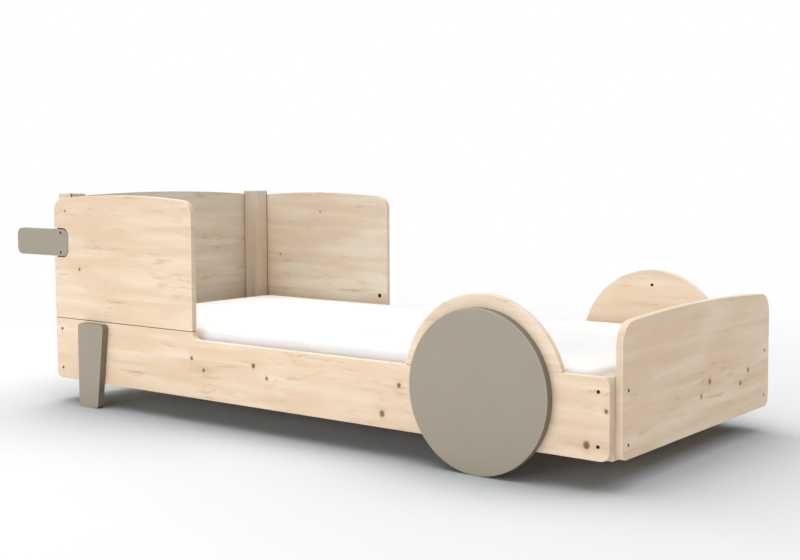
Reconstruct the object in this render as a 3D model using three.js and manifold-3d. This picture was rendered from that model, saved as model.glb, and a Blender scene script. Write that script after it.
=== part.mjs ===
import * as THREE from 'three';
import { mergeVertices } from 'three/addons/utils/BufferGeometryUtils.js';
import Module from 'manifold-3d';

// A child's floor bed built like a barrow: solid pine boards, with painted wheels, legs and handles.
// Millimetres, +Z up. X runs from the head to the foot, and Y from the near side to the far side.
// The pieces are drawn from the near rail's head corner; the whole is then moved so that its
// origin lies on the floor under its middle. The bed stands on its two wheels and its two legs.

// Driving sizes of the frame
const mattressLength = 2000;
const mattressWidth = 900;
const mattressThickness = 160;
const mattressEndGap = 5;
const mattressSideGap = 5;
const boardThickness = 19;
const seatGap = 0.3;

// Corner posts: the head pair stands with its wide face along the bed, the foot pair across it
const headPostAlong = 70;
const headPostAcross = 57;
const footPostAlong = 40;
const footPostAcross = 65;
const postEdge = 3;
const postEdgeSteps = 3;

// Side rails
const railBottom = 79;
const railLowTop = 258;
const railHighTop = 282;
const railCornerRadius = 24;
const entryStepRadius = 24;
const footStepX = 1700;

// Head side panels
const sidePanelLength = 676;
const sidePanelTop = 694;
const sidePanelCrown = 16;

// End boards
const endBoardInset = 28;
const endBoardBottomRadius = 24;
const headboardTop = 700;
const headPostBelowBoard = 2;
const footboardTop = 425;
const footboardCornerRadius = 58;
const endBoardCrown = 16;
const topCornerRadius = 46;
const boardEdge = 2;

// Wheels and mudguards
const wheelRadius = 213;
const wheelThickness = 25;
const wheelX = 1751;
const wheelEdge = 3;
const wheelEdgeSteps = 2;
const wheelSides = 96;
const mudguardRadius = 248;
const mudguardSteps = 40;

// Front legs
const legThickness = 25;
const legX = 149;
const legHeight = 275;
const legTopWidth = 129;
const legFootWidth = 94;
const legCornerRadius = 14;

// Handles
const handleLength = 279;
const handleOverlap = 71;
const handleHeight = 90;
const handleCentreZ = 534;
const handleRadius = 24;
const handleSlot = 4;
const handleLap = 12;

// Slatted base
const battenHeight = 40;
const battenDepth = 25;
const slatCount = 11;
const slatWidth = 110;
const slatThickness = 18;
const slatEndMargin = 12;
const slatSideGap = 3;

// Fasteners
const screwShankRadius = 3;
const screwHeadRadius = 4.6;
const screwHeadHeight = 5;
const screwRecess = 1;
const screwLength = 46;
const shortScrewLength = 34;
const screwSides = 16;
const socketRadius = 2.3;
const socketDepth = 3;
const screwLowZ = 114;
const screwHighZ = 246;
const headScrewX = 33;
const footScrewInset = 30;
const footboardScrewY = 60;
const headboardScrewLowZ = 150;
const headboardScrewFromTop = 95;
const headboardScrewY = 41;
const handleScrewX = 33;
const handleScrewSpread = 33;
const mudguardScrewFromEdge = 12;
const wheelScrewZ = 130;
const legScrewFromLeft = 55;
const legScrewZ = 180;
const camRadius = 7.5;
const camDepth = 12.5;
const camSides = 20;
const camSlotRadius = 2.6;
const camSlotDepth = 2.5;
const camFromFront = 34;
const camAboveJoint = 34;

// Mattress form
const mattressCrown = 4;
const mattressEdgeRadius = 22;
const mattressCornerRadius = 45;
const mattressSideDraw = 3;
const mattressEdgeSteps = 4;
const mattressCornerSteps = 6;
const mattressCrownInsets = [60, 130, 220, 320];
const mattressLeastRadius = 2;

// Derived places
const bedInnerWidth = mattressWidth + 2 * mattressSideGap;
const bedWidth = bedInnerWidth + 2 * boardThickness;
const railLength = headPostAlong + mattressEndGap + mattressLength + mattressEndGap + footPostAlong;
const slatTop = railBottom + battenHeight + seatGap + slatThickness;
const mattressBottom = slatTop + seatGap;
const mattressTop = mattressBottom + mattressThickness;
const postFace = boardThickness + seatGap;
const headPostTop = headboardTop - headPostBelowBoard;
const footFaceX = railLength + seatGap + boardThickness;

const wasm = await Module();
wasm.setup();

const pine = new THREE.MeshStandardMaterial({ color: 0xefdcc0, roughness: 0.62, metalness: 0 });
const greyPaint = new THREE.MeshStandardMaterial({ color: 0xa59d8e, roughness: 0.5, metalness: 0 });
const darkSteel = new THREE.MeshStandardMaterial({ color: 0x4a3f36, roughness: 0.42, metalness: 0.8 });
const ticking = new THREE.MeshStandardMaterial({ color: 0xf6f6f4, roughness: 0.9, metalness: 0 });

const bed = new THREE.Group();

// Gives a three.js geometry as a manifold solid with its shared corners merged.
function solid(geometry) {
  const bare = geometry.clone();
  bare.deleteAttribute('normal');
  bare.deleteAttribute('uv');
  const merged = mergeVertices(bare, 1e-4);
  return new wasm.Manifold(new wasm.Mesh({
    numProp: 3,
    vertProperties: new Float32Array(merged.attributes.position.array),
    triVerts: new Uint32Array(merged.index.array),
  }));
}

// Gives a manifold solid back as a geometry.
function geometryOf(body) {
  const mesh = body.getMesh();
  const geometry = new THREE.BufferGeometry();
  geometry.setAttribute('position', new THREE.BufferAttribute(mesh.vertProperties, 3));
  geometry.setIndex(new THREE.BufferAttribute(mesh.triVerts, 1));
  geometry.computeVertexNormals();
  return geometry;
}

function addPiece(name, geometry, material) {
  const piece = new THREE.Mesh(geometry, material);
  piece.name = name;
  bed.add(piece);
  return piece;
}

// Rounds the corners of a closed outline. Each corner is [x, y, radius]; a radius of 0 stays sharp.
function outline(corners, steps = 8) {
  const points = [];
  const count = corners.length;
  for (let i = 0; i < count; i += 1) {
    const [x, y, radius] = corners[i];
    const here = new THREE.Vector2(x, y);
    if (!radius) {
      points.push(here);
      continue;
    }
    const before = corners[(i + count - 1) % count];
    const after = corners[(i + 1) % count];
    const back = new THREE.Vector2(before[0], before[1]).sub(here).normalize();
    const on = new THREE.Vector2(after[0], after[1]).sub(here).normalize();
    const half = Math.acos(THREE.MathUtils.clamp(back.dot(on), -1, 1)) / 2;
    const middle = back.clone().add(on).normalize().multiplyScalar(radius / Math.sin(half)).add(here);
    const start = here.clone().addScaledVector(back, radius / Math.tan(half)).sub(middle);
    const end = here.clone().addScaledVector(on, radius / Math.tan(half)).sub(middle);
    const turn = Math.atan2(start.cross(end), start.dot(end));
    for (let k = 0; k <= steps; k += 1) {
      const arm = start.clone().rotateAround(new THREE.Vector2(), (turn * k) / steps);
      points.push(arm.add(middle));
    }
  }
  return points;
}

// The points of an arched top edge, from right to left, between two equal ends below its apex.
function archedEdge(left, right, apex, rise, radius, steps = 8) {
  const edge = [];
  for (let k = 0; k <= steps; k += 1) {
    const share = k / steps;
    const across = 2 * share - 1;
    const corner = k === 0 || k === steps ? radius : 0;
    edge.push([right + (left - right) * share, apex - rise * across * across, corner]);
  }
  return edge;
}

function ring(centreX, centreY, radius, sides) {
  const points = [];
  for (let k = 0; k < sides; k += 1) {
    const angle = (2 * Math.PI * k) / sides;
    points.push(new THREE.Vector2(centreX + radius * Math.cos(angle), centreY + radius * Math.sin(angle)));
  }
  return points;
}

// A flat board from its outline, with eased edges of the given size.
function board(points, thickness, edge, edgeSteps = 1) {
  return new THREE.ExtrudeGeometry(new THREE.Shape(points), {
    depth: thickness - 2 * edge,
    bevelEnabled: edge > 0,
    bevelThickness: edge,
    bevelSize: edge,
    bevelOffset: -edge,
    bevelSegments: edgeSteps,
  }).translate(0, 0, edge);
}

// Turns a board drawn in (x, z) upright, so that it fills nearY to nearY + thickness.
function standAlong(geometry, nearY, thickness) {
  const basis = new THREE.Matrix4().makeRotationX(Math.PI / 2);
  return geometry.applyMatrix4(basis).translate(0, nearY + thickness, 0);
}

// Turns a board drawn in (y, z) upright, so that it fills lowX to lowX + thickness.
function standAcross(geometry, lowX) {
  const basis = new THREE.Matrix4().makeBasis(
    new THREE.Vector3(0, 1, 0),
    new THREE.Vector3(0, 0, 1),
    new THREE.Vector3(1, 0, 0),
  );
  return geometry.applyMatrix4(basis).translate(lowX, 0, 0);
}

// A turned body about its own +Y axis, placed at a point and pointing along a direction.
function turned(profile, sides, at, direction) {
  const geometry = new THREE.LatheGeometry(profile.map(([r, y]) => new THREE.Vector2(r, y)), sides);
  const turn = new THREE.Quaternion().setFromUnitVectors(new THREE.Vector3(0, 1, 0), direction);
  return geometry.applyQuaternion(turn).translate(at.x, at.y, at.z);
}

function rod(radius, from, to, sides = screwSides) {
  const along = to.clone().sub(from);
  const profile = [[0, 0], [radius, 0], [radius, along.length()], [0, along.length()]];
  return turned(profile, sides, from, along.clone().normalize());
}

const screws = [];

// Plans one screw: its head lies sunk in the face at a point and its shank runs along a direction.
function planScrew(name, at, direction, length = screwLength) {
  screws.push({ name, at, direction, length });
}

function pointAlong(screw, distance) {
  return screw.at.clone().addScaledVector(screw.direction, distance);
}

// The clearance hole that one screw needs in whatever it passes.
function screwHole(screw) {
  const outside = pointAlong(screw, -socketDepth);
  const seat = pointAlong(screw, screwRecess + screwHeadHeight + seatGap);
  const tip = pointAlong(screw, screwRecess + screw.length + seatGap);
  return solid(rod(screwHeadRadius + seatGap, outside, seat))
    .add(solid(rod(screwShankRadius + seatGap, pointAlong(screw, 0), tip)));
}

function screwBody(screw) {
  const head = screwHeadHeight;
  const profile = [
    [0, socketDepth], [socketRadius, socketDepth], [socketRadius, 0], [screwHeadRadius, 0],
    [screwHeadRadius, head], [screwShankRadius, head], [screwShankRadius, screw.length - screwShankRadius],
    [0, screw.length],
  ];
  return turned(profile, screwSides, pointAlong(screw, screwRecess), screw.direction);
}

// Cuts the holes of every screw whose name starts with one of the given words.
function drilled(geometry, ...words) {
  let body = solid(geometry);
  for (const screw of screws) {
    if (words.some((word) => screw.name.startsWith(word))) {
      body = body.subtract(screwHole(screw));
    }
  }
  return geometryOf(body);
}

const inward = { near: new THREE.Vector3(0, 1, 0), far: new THREE.Vector3(0, -1, 0) };
const outerFace = { near: 0, far: bedWidth };

// A point given by its distance in from the outer face of one side.
function sidePoint(side, x, inset, z) {
  return new THREE.Vector3(x, outerFace[side] + inward[side].y * inset, z);
}

// The low Y of a board that starts at a distance in from the outer face of one side.
function lowY(side, inset, thickness) {
  return side === 'near' ? inset : bedWidth - inset - thickness;
}

const sides = ['near', 'far'];
const screwHeights = { low: screwLowZ, high: screwHighZ };
const headboardScrewHeights = { low: headboardScrewLowZ, high: headboardTop - headboardScrewFromTop };

for (const side of sides) {
  for (const [level, z] of Object.entries(screwHeights)) {
    const headAt = sidePoint(side, headScrewX, 0, z);
    const footAt = sidePoint(side, railLength - footScrewInset, 0, z);
    const footboardAt = sidePoint(side, footFaceX, footboardScrewY, z);
    planScrew(`rail_screw_${side}_head_${level}`, headAt, inward[side]);
    planScrew(`rail_screw_${side}_foot_${level}`, footAt, inward[side]);
    planScrew(`footboard_screw_${side}_${level}`, footboardAt, new THREE.Vector3(-1, 0, 0));
  }
  for (const [level, z] of Object.entries(headboardScrewHeights)) {
    const headboardAt = sidePoint(side, -seatGap - boardThickness, headboardScrewY, z);
    planScrew(`headboard_screw_${side}_${level}`, headboardAt, new THREE.Vector3(1, 0, 0));
  }
  for (const [level, sign] of [['low', -1], ['high', 1]]) {
    const at = sidePoint(side, handleScrewX, 0, handleCentreZ + sign * handleScrewSpread);
    planScrew(`handle_screw_${side}_${level}`, at, inward[side]);
  }
  const outward = inward[side].clone().negate();
  const mudguardAt = sidePoint(side, wheelX, boardThickness, 2 * wheelRadius - mudguardScrewFromEdge);
  const wheelAt = sidePoint(side, wheelX, boardThickness, wheelScrewZ);
  const legAt = sidePoint(side, legX + legScrewFromLeft, boardThickness, legScrewZ);
  planScrew(`mudguard_screw_${side}`, mudguardAt, outward, shortScrewLength);
  planScrew(`wheel_screw_${side}`, wheelAt, outward, shortScrewLength);
  planScrew(`leg_screw_${side}`, legAt, outward, shortScrewLength);
}

// Side rails: one board each side, high under the head panel, low at the entry, high again at the foot
const railCorners = [
  [0, railBottom, railCornerRadius],
  [railLength, railBottom, railCornerRadius],
  [railLength, railHighTop, railCornerRadius],
  [footStepX, railHighTop, 0],
  [footStepX, railLowTop, 0],
  [sidePanelLength, railLowTop, entryStepRadius],
  [sidePanelLength, railHighTop, 0],
  [0, railHighTop, 0],
];
for (const side of sides) {
  const flat = board(outline(railCorners), boardThickness, 0);
  const plain = standAlong(flat, lowY(side, 0, boardThickness), boardThickness);
  const words = [`rail_screw_${side}`, `wheel_screw_${side}`, `leg_screw_${side}`];
  addPiece(`side_rail_${side}`, drilled(plain, ...words), pine);
}

// Head side panels: each stands on the high end of its rail, with a rebate in its outer face for the handle
const panelBottom = railHighTop + seatGap;
const panelCorners = [
  [0, panelBottom, 0],
  [sidePanelLength, panelBottom, 0],
  ...archedEdge(0, sidePanelLength, sidePanelTop, sidePanelCrown, topCornerRadius),
];
const handleLeft = handleOverlap - handleLength;
const handleLowZ = handleCentreZ - handleHeight / 2;
function handleOutline(grow) {
  const left = handleLeft - grow;
  const right = handleOverlap + grow;
  const low = handleLowZ - grow;
  const high = handleLowZ + handleHeight + grow;
  const radius = handleRadius + grow;
  return outline([[left, low, radius], [right, low, radius], [right, high, radius], [left, high, radius]]);
}
const camX = sidePanelLength - camFromFront;
const camZ = panelBottom + camAboveJoint;
const slotDepth = handleLap + 2 * seatGap;
for (const side of sides) {
  const nearY = lowY(side, 0, boardThickness);
  const plain = standAlong(board(outline(panelCorners), boardThickness, boardEdge), nearY, boardThickness);
  const slotBoard = board(handleOutline(handleSlot), slotDepth, 0);
  const slot = standAlong(slotBoard, lowY(side, -seatGap, slotDepth), slotDepth);
  const pocketStart = sidePoint(side, camX, boardThickness + seatGap, camZ);
  const pocketEnd = sidePoint(side, camX, boardThickness - camDepth - seatGap, camZ);
  const pocket = rod(camRadius + seatGap, pocketStart, pocketEnd, camSides);
  const cut = solid(plain).subtract(solid(slot)).subtract(solid(pocket));
  addPiece(`side_panel_${side}`, drilled(geometryOf(cut), `handle_screw_${side}`), pine);
}

// Panel locks: a cam in the inner face of each panel draws it down on its rail
const camProfile = [
  [0, camSlotDepth], [camSlotRadius, camSlotDepth], [camSlotRadius, 0],
  [camRadius, 0], [camRadius, camDepth], [0, camDepth],
];
for (const side of sides) {
  const camAt = sidePoint(side, camX, boardThickness, camZ);
  const cam = turned(camProfile, camSides, camAt, inward[side].clone().negate());
  addPiece(`panel_lock_${side}`, cam, darkSteel);
}

// Corner posts: square in the corners inside the rails, with eased edges
function post(along, across, top, lowX, nearY) {
  const corners = [
    [lowX, nearY, postEdge],
    [lowX + along, nearY, postEdge],
    [lowX + along, nearY + across, postEdge],
    [lowX, nearY + across, postEdge],
  ];
  return board(outline(corners, postEdgeSteps), top - railBottom, 0).translate(0, 0, railBottom);
}
for (const side of sides) {
  const headNearY = lowY(side, postFace, headPostAcross);
  const headPost = post(headPostAlong, headPostAcross, headPostTop, 0, headNearY);
  const headWords = [`rail_screw_${side}_head`, `headboard_screw_${side}`, `handle_screw_${side}`];
  addPiece(`head_post_${side}`, drilled(headPost, ...headWords), pine);
  const footNearY = lowY(side, postFace, footPostAcross);
  const footPost = post(footPostAlong, footPostAcross, railHighTop, railLength - footPostAlong, footNearY);
  const footWords = [`rail_screw_${side}_foot`, `footboard_screw_${side}`];
  addPiece(`foot_post_${side}`, drilled(footPost, ...footWords), pine);
}

// End boards: arched boards between the rails' outer faces, screwed to the ends of the posts
function endBoardCorners(top, cornerRadius) {
  const low = endBoardInset;
  const high = bedWidth - endBoardInset;
  return [
    [low, railBottom, endBoardBottomRadius],
    [high, railBottom, endBoardBottomRadius],
    ...archedEdge(low, high, top, endBoardCrown, cornerRadius),
  ];
}
const headboard = standAcross(
  board(outline(endBoardCorners(headboardTop, topCornerRadius)), boardThickness, boardEdge),
  -seatGap - boardThickness,
);
addPiece('headboard', drilled(headboard, 'headboard_screw'), pine);
const footboard = standAcross(
  board(outline(endBoardCorners(footboardTop, footboardCornerRadius)), boardThickness, boardEdge),
  railLength + seatGap,
);
addPiece('footboard', drilled(footboard, 'footboard_screw'), pine);

// Mudguards: the part of a disc that shows round each wheel, standing on the rail's stepped top
function mudguardOutline() {
  const lowZ = railLowTop + seatGap;
  const highZ = railHighTop + seatGap;
  const start = Math.asin((highZ - wheelRadius) / mudguardRadius);
  const end = Math.PI - Math.asin((lowZ - wheelRadius) / mudguardRadius);
  const centre = new THREE.Vector2(wheelX, wheelRadius);
  const points = [];
  for (let k = 0; k <= mudguardSteps; k += 1) {
    const angle = start + ((end - start) * k) / mudguardSteps;
    const arm = new THREE.Vector2(Math.cos(angle), Math.sin(angle));
    points.push(arm.multiplyScalar(mudguardRadius).add(centre));
  }
  points.push(new THREE.Vector2(footStepX - seatGap, lowZ));
  points.push(new THREE.Vector2(footStepX - seatGap, highZ));
  return points;
}
for (const side of sides) {
  const nearY = lowY(side, 0, boardThickness);
  const plain = standAlong(board(mudguardOutline(), boardThickness, 0), nearY, boardThickness);
  addPiece(`mudguard_${side}`, drilled(plain, `mudguard_screw_${side}`), pine);
}

// Wheels: fixed discs on the outer faces, which carry the foot end of the bed
for (const side of sides) {
  const nearY = lowY(side, -seatGap - wheelThickness, wheelThickness);
  const rim = ring(wheelX, wheelRadius, wheelRadius, wheelSides);
  const disc = board(rim, wheelThickness, wheelEdge, wheelEdgeSteps);
  const standing = standAlong(disc, nearY, wheelThickness);
  addPiece(`wheel_${side}`, drilled(standing, `mudguard_screw_${side}`, `wheel_screw_${side}`), greyPaint);
}

// Legs: tapered boards on the outer faces, which carry the head end of the bed
const legCorners = [
  [legX, 0, legCornerRadius],
  [legX + legFootWidth, 0, legCornerRadius],
  [legX + legTopWidth, legHeight, legCornerRadius],
  [legX, legHeight, legCornerRadius],
];
for (const side of sides) {
  const nearY = lowY(side, -seatGap - legThickness, legThickness);
  const plain = standAlong(board(outline(legCorners), legThickness, boardEdge), nearY, legThickness);
  addPiece(`leg_${side}`, drilled(plain, `leg_screw_${side}`), greyPaint);
}

// Handles: boards with a lapped end let into the side panels, screwed through them to the head posts
const lapLength = handleOverlap + 2 * seatGap;
const lapDepth = boardThickness - handleLap + seatGap;
for (const side of sides) {
  const plain = board(handleOutline(0), boardThickness, boardEdge);
  const standing = standAlong(plain, lowY(side, 0, boardThickness), boardThickness);
  const waste = new THREE.BoxGeometry(lapLength, lapDepth, handleHeight + 2 * seatGap);
  const wasteY = lowY(side, handleLap, lapDepth) + lapDepth / 2;
  waste.translate(lapLength / 2 - seatGap, wasteY, handleCentreZ);
  const lapped = geometryOf(solid(standing).subtract(solid(waste)));
  addPiece(`handle_${side}`, drilled(lapped, `handle_screw_${side}`), greyPaint);
}

// Slatted base: two battens along the rails carry the slats
const battenStart = headPostAlong + seatGap;
const battenEnd = railLength - footPostAlong - seatGap;
for (const side of sides) {
  const nearY = lowY(side, postFace, battenDepth);
  const batten = new THREE.BoxGeometry(battenEnd - battenStart, battenDepth, battenHeight);
  batten.translate((battenStart + battenEnd) / 2, nearY + battenDepth / 2, railBottom + battenHeight / 2);
  const clear = drilled(batten, `wheel_screw_${side}`, `leg_screw_${side}`);
  addPiece(`slat_batten_${side}`, clear, pine);
}
const slatLength = bedInnerWidth - 2 * slatSideGap;
const slatRun = battenEnd - battenStart - 2 * slatEndMargin - slatWidth;
const slatPitch = slatRun / (slatCount - 1);
for (let k = 0; k < slatCount; k += 1) {
  const centreX = battenStart + slatEndMargin + slatWidth / 2 + k * slatPitch;
  const points = outline([
    [centreX - slatWidth / 2, -slatLength / 2, 0],
    [centreX + slatWidth / 2, -slatLength / 2, 0],
    [centreX + slatWidth / 2, slatLength / 2, 0],
    [centreX - slatWidth / 2, slatLength / 2, 0],
  ]);
  const slat = board(points, slatThickness, boardEdge);
  slat.translate(0, bedWidth / 2, railBottom + battenHeight + seatGap);
  addPiece(`slat_${String(k + 1).padStart(2, '0')}`, slat, pine);
}

for (const screw of screws) {
  addPiece(screw.name, screwBody(screw), darkSteel);
}

// Mattress: a foam block with round corners, sides drawn in at half height and a low crown.
// Each ring is the plan outline drawn in by an inset at a height; the last rings close the crown.
function mattressGeometry() {
  const halfLength = mattressLength / 2;
  const halfWidth = mattressWidth / 2;
  const rings = [];
  const addRing = (inset, z) => {
    const length = halfLength - inset;
    const width = halfWidth - inset;
    const radius = Math.max(mattressCornerRadius - inset, mattressLeastRadius);
    const corners = [
      [-length, -width, radius], [length, -width, radius], [length, width, radius], [-length, width, radius],
    ];
    const plan = outline(corners, mattressCornerSteps);
    rings.push(plan.map((point) => new THREE.Vector3(point.x, point.y, z)));
  };
  for (let k = 0; k <= mattressEdgeSteps; k += 1) {
    const angle = (Math.PI / 2) * (k / mattressEdgeSteps);
    const inset = mattressEdgeRadius * (1 - Math.sin(angle));
    addRing(inset, mattressBottom + mattressEdgeRadius * (1 - Math.cos(angle)));
  }
  addRing(mattressSideDraw, (mattressBottom + mattressTop) / 2);
  const shoulder = mattressTop - mattressCrown;
  for (let k = 0; k <= mattressEdgeSteps; k += 1) {
    const angle = (Math.PI / 2) * (k / mattressEdgeSteps);
    const inset = mattressEdgeRadius * (1 - Math.cos(angle));
    addRing(inset, shoulder - mattressEdgeRadius * (1 - Math.sin(angle)));
  }
  for (const inset of mattressCrownInsets) {
    const share = 1 - inset / halfWidth;
    addRing(inset, mattressTop - mattressCrown * share * share);
  }
  const points = rings.flat();
  const around = rings[0].length;
  const bottomCentre = points.push(new THREE.Vector3(0, 0, mattressBottom)) - 1;
  const topCentre = points.push(new THREE.Vector3(0, 0, mattressTop)) - 1;
  const index = [];
  for (let r = 0; r + 1 < rings.length; r += 1) {
    for (let k = 0; k < around; k += 1) {
      const a = r * around + k;
      const b = r * around + ((k + 1) % around);
      index.push(a, b, b + around, a, b + around, a + around);
    }
  }
  const last = (rings.length - 1) * around;
  for (let k = 0; k < around; k += 1) {
    const next = (k + 1) % around;
    index.push(bottomCentre, next, k, topCentre, last + k, last + next);
  }
  const geometry = new THREE.BufferGeometry().setFromPoints(points);
  geometry.setIndex(index);
  geometry.computeVertexNormals();
  const lowX = headPostAlong + mattressEndGap;
  return geometry.translate(lowX + halfLength, bedWidth / 2, 0);
}
addPiece('mattress', mattressGeometry(), ticking);

bed.position.set(-(handleLeft + footFaceX) / 2, -bedWidth / 2, 0);

export default bed;
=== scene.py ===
"""A child's floor bed built like a barrow, dressed for its picture: solid pine boards, wheels, legs and
handles in grey lacquer, dark screws, and a plain white mattress. Metres, +Z up; X runs from the head to
the foot and Y from the near side to the far side."""

import functools
import math

import bmesh
import bpy
import numpy as np
from mathutils import Matrix, Vector
from mathutils.geometry import tessellate_polygon


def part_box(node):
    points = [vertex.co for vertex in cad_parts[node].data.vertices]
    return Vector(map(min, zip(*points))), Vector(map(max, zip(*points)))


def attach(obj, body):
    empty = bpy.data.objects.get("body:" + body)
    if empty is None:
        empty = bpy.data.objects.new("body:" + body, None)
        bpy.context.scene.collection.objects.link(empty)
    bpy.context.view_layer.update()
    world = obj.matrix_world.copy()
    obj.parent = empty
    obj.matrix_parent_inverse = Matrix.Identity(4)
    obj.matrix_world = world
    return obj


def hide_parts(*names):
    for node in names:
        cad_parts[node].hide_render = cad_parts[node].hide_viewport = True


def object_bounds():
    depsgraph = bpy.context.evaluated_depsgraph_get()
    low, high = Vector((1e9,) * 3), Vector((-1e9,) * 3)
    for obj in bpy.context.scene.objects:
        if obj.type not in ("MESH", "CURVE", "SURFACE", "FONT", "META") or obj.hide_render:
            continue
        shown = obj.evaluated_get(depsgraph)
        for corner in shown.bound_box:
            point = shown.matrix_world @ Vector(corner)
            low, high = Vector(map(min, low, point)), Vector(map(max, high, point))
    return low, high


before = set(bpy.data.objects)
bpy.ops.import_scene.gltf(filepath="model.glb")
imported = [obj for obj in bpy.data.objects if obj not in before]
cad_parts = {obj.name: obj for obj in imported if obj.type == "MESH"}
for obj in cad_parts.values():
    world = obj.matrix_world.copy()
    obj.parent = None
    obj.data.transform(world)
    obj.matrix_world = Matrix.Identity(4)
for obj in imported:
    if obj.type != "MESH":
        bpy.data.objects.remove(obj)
cad_low, cad_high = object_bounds()


def linked(name, data):
    """A new object in the scene."""
    made = bpy.data.objects.new(name, data)
    bpy.context.scene.collection.objects.link(made)
    return made


# The camera stands low beyond the foot of the bed and looks along its near side.
CAMERA_PLACE = (2.5420, -2.9669, 0.7565)
CAMERA_TURN = math.radians(36.338)
CAMERA_TILT = math.radians(4.129)
CAMERA_ROLL = math.radians(-0.067)
CAMERA_LENS = 54.849
CAMERA_SENSOR = 36
CAMERA_SHIFT = (-0.0701, -0.0208)
CAMERA_REACH = 200
camera_data = bpy.data.cameras.new("camera")
camera_data.sensor_width = CAMERA_SENSOR
camera_data.lens = CAMERA_LENS
camera_data.shift_x, camera_data.shift_y = CAMERA_SHIFT
camera_data.clip_end = CAMERA_REACH
camera = linked("camera", camera_data)
camera.location = CAMERA_PLACE
level = Matrix.Rotation(CAMERA_TURN, 3, "Z") @ Matrix.Rotation(math.pi / 2 - CAMERA_TILT, 3, "X")
camera.rotation_euler = (level @ Matrix.Rotation(CAMERA_ROLL, 3, "Z")).to_euler()
bpy.context.scene.camera = camera


# Side rails: one pine board along each side, 19 mm thick and glued up from staves. The top edge is high
# under the head panel, drops in a round step to the low entry, and is high again at the foot. Two
# screws at each end draw the rail against the corner posts.
ALONG, ACROSS, UP = range(3)
ARRIS = 0.0022
ARRIS_STEPS = 5
JOINT_SHADE_REACH = 0.0013
CORNER_STEP = math.radians(7)
SMALLEST_CORNER = ARRIS + 0.0006
RIM_SHARPNESS = 4
BORE_SIDES = 32
WELD = 1e-6
SHARP_ANGLE = math.radians(35)
BROAD_FACE = 0.99999
LARGEST_FACES_FIRST = 100
SCREW_PLAY = 0.0003
SCREW_HEAD_HEIGHT = 0.005
SCREW_SHANK_RADIUS = 0.003
RAIL_CORNER_RADIUS = 0.024
RAIL_LOW_TOP = 0.258
RAIL_HIGH_TOP = 0.282
RAIL_STEP_FROM_FOOT = 0.420
RAIL_HOLE_WORDS = ("rail_screw_", "wheel_screw_", "leg_screw_")


def unit(vectors):
    """Each row divided by its length."""
    return vectors / np.linalg.norm(vectors, axis=-1, keepdims=True)


def outline(corners):
    """A closed outline with its outward directions, as two arrays of rows (u, v), from corners
    (u, v, radius) drawn anticlockwise. A corner with a radius becomes an arc that touches both of its
    edges; a corner whose radius is None is a point of a smooth curve and stays where it is."""
    spots = np.array([corner[:2] for corner in corners], float)
    ahead = unit(np.roll(spots, -1, axis=0) - spots)
    behind = np.roll(ahead, 1, axis=0)
    points, outward = [], []
    for spot, on, back, corner in zip(spots, ahead, behind, corners):
        first = np.array([back[1], -back[0]])
        last = np.array([on[1], -on[0]])
        if corner[2] is None:
            points.append(spot[None])
            outward.append(unit(first + last)[None])
            continue
        radius = max(corner[2], SMALLEST_CORNER)
        turn = math.atan2(back[0] * on[1] - back[1] * on[0], float(back @ on))
        side = math.copysign(1, turn)
        steps = max(2, round(abs(turn) / CORNER_STEP))
        angles = np.linspace(0, turn, steps + 1)
        around = (np.cos(angles)[:, None] * first
                  + np.sin(angles)[:, None] * np.array([-first[1], first[0]]))
        centre = spot - back * radius * math.tan(abs(turn) / 2) - side * first * radius
        points.append(centre + side * radius * around)
        outward.append(around)
    return np.concatenate(points), np.concatenate(outward)


def rectangle(left, bottom, right, top, left_radius=0, right_radius=0):
    """The outline of a rectangle, with a radius for the corners of each end."""
    return outline([(left, bottom, left_radius), (right, bottom, right_radius),
                    (right, top, right_radius), (left, top, left_radius)])


def other_axes(axis):
    """The two axes beside this one, in the order of the alphabet."""
    return [other for other in (ALONG, ACROSS, UP) if other != axis]


def placed(across, depth, axis):
    """Rows (u, v) and their depths as rows (x, y, z). The depth lies along the given axis, and u and v
    along the other two."""
    rows = np.empty((len(across), 3))
    rows[:, other_axes(axis)] = across
    rows[:, axis] = depth
    return rows


def finished_mesh(name, points, faces, painted_light=None, rim=None):
    """An object from corner rows and face lists, with equal corners joined, faces turned outwards, soft
    shading broken at sharp edges, and two shares kept at each corner: one that paints a highlight along
    an arris where it is above 0 and paints shade into a joint where it is -1, and rim, which is 1 on the
    narrow side of a board and 0 on its faces."""
    mesh = bpy.data.meshes.new(name)
    mesh.from_pydata(points.tolist(), [], faces)
    for word, share in (("painted_light", painted_light), ("rim", rim)):
        kept = mesh.attributes.new(word, "FLOAT", "POINT")
        share = np.zeros(len(points)) if share is None else share
        kept.data.foreach_set("value", share.astype(np.float32))
    work = bmesh.new()
    work.from_mesh(mesh)
    bmesh.ops.remove_doubles(work, verts=work.verts, dist=WELD)
    bmesh.ops.recalc_face_normals(work, faces=work.faces)
    work.to_mesh(mesh)
    work.free()
    mesh.shade_smooth()
    mesh.set_sharp_from_angle(angle=SHARP_ANGLE)
    return linked(name, mesh)


def grid_faces(rows, columns):
    """Quads over rows x columns of corners; the columns close on themselves."""
    row, column = np.meshgrid(np.arange(rows - 1), np.arange(columns), indexing="ij")
    after = (column + 1) % columns
    here, above = row * columns, (row + 1) * columns
    return np.stack([here + column, here + after, above + after, above + column], -1).reshape(-1, 4)


def unit_circle(sides):
    """Rows (cos t, sin t) for even steps of t round a full turn."""
    angles = np.linspace(0, 2 * math.pi, sides, endpoint=False)
    return np.stack([np.cos(angles), np.sin(angles)], -1)


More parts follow.
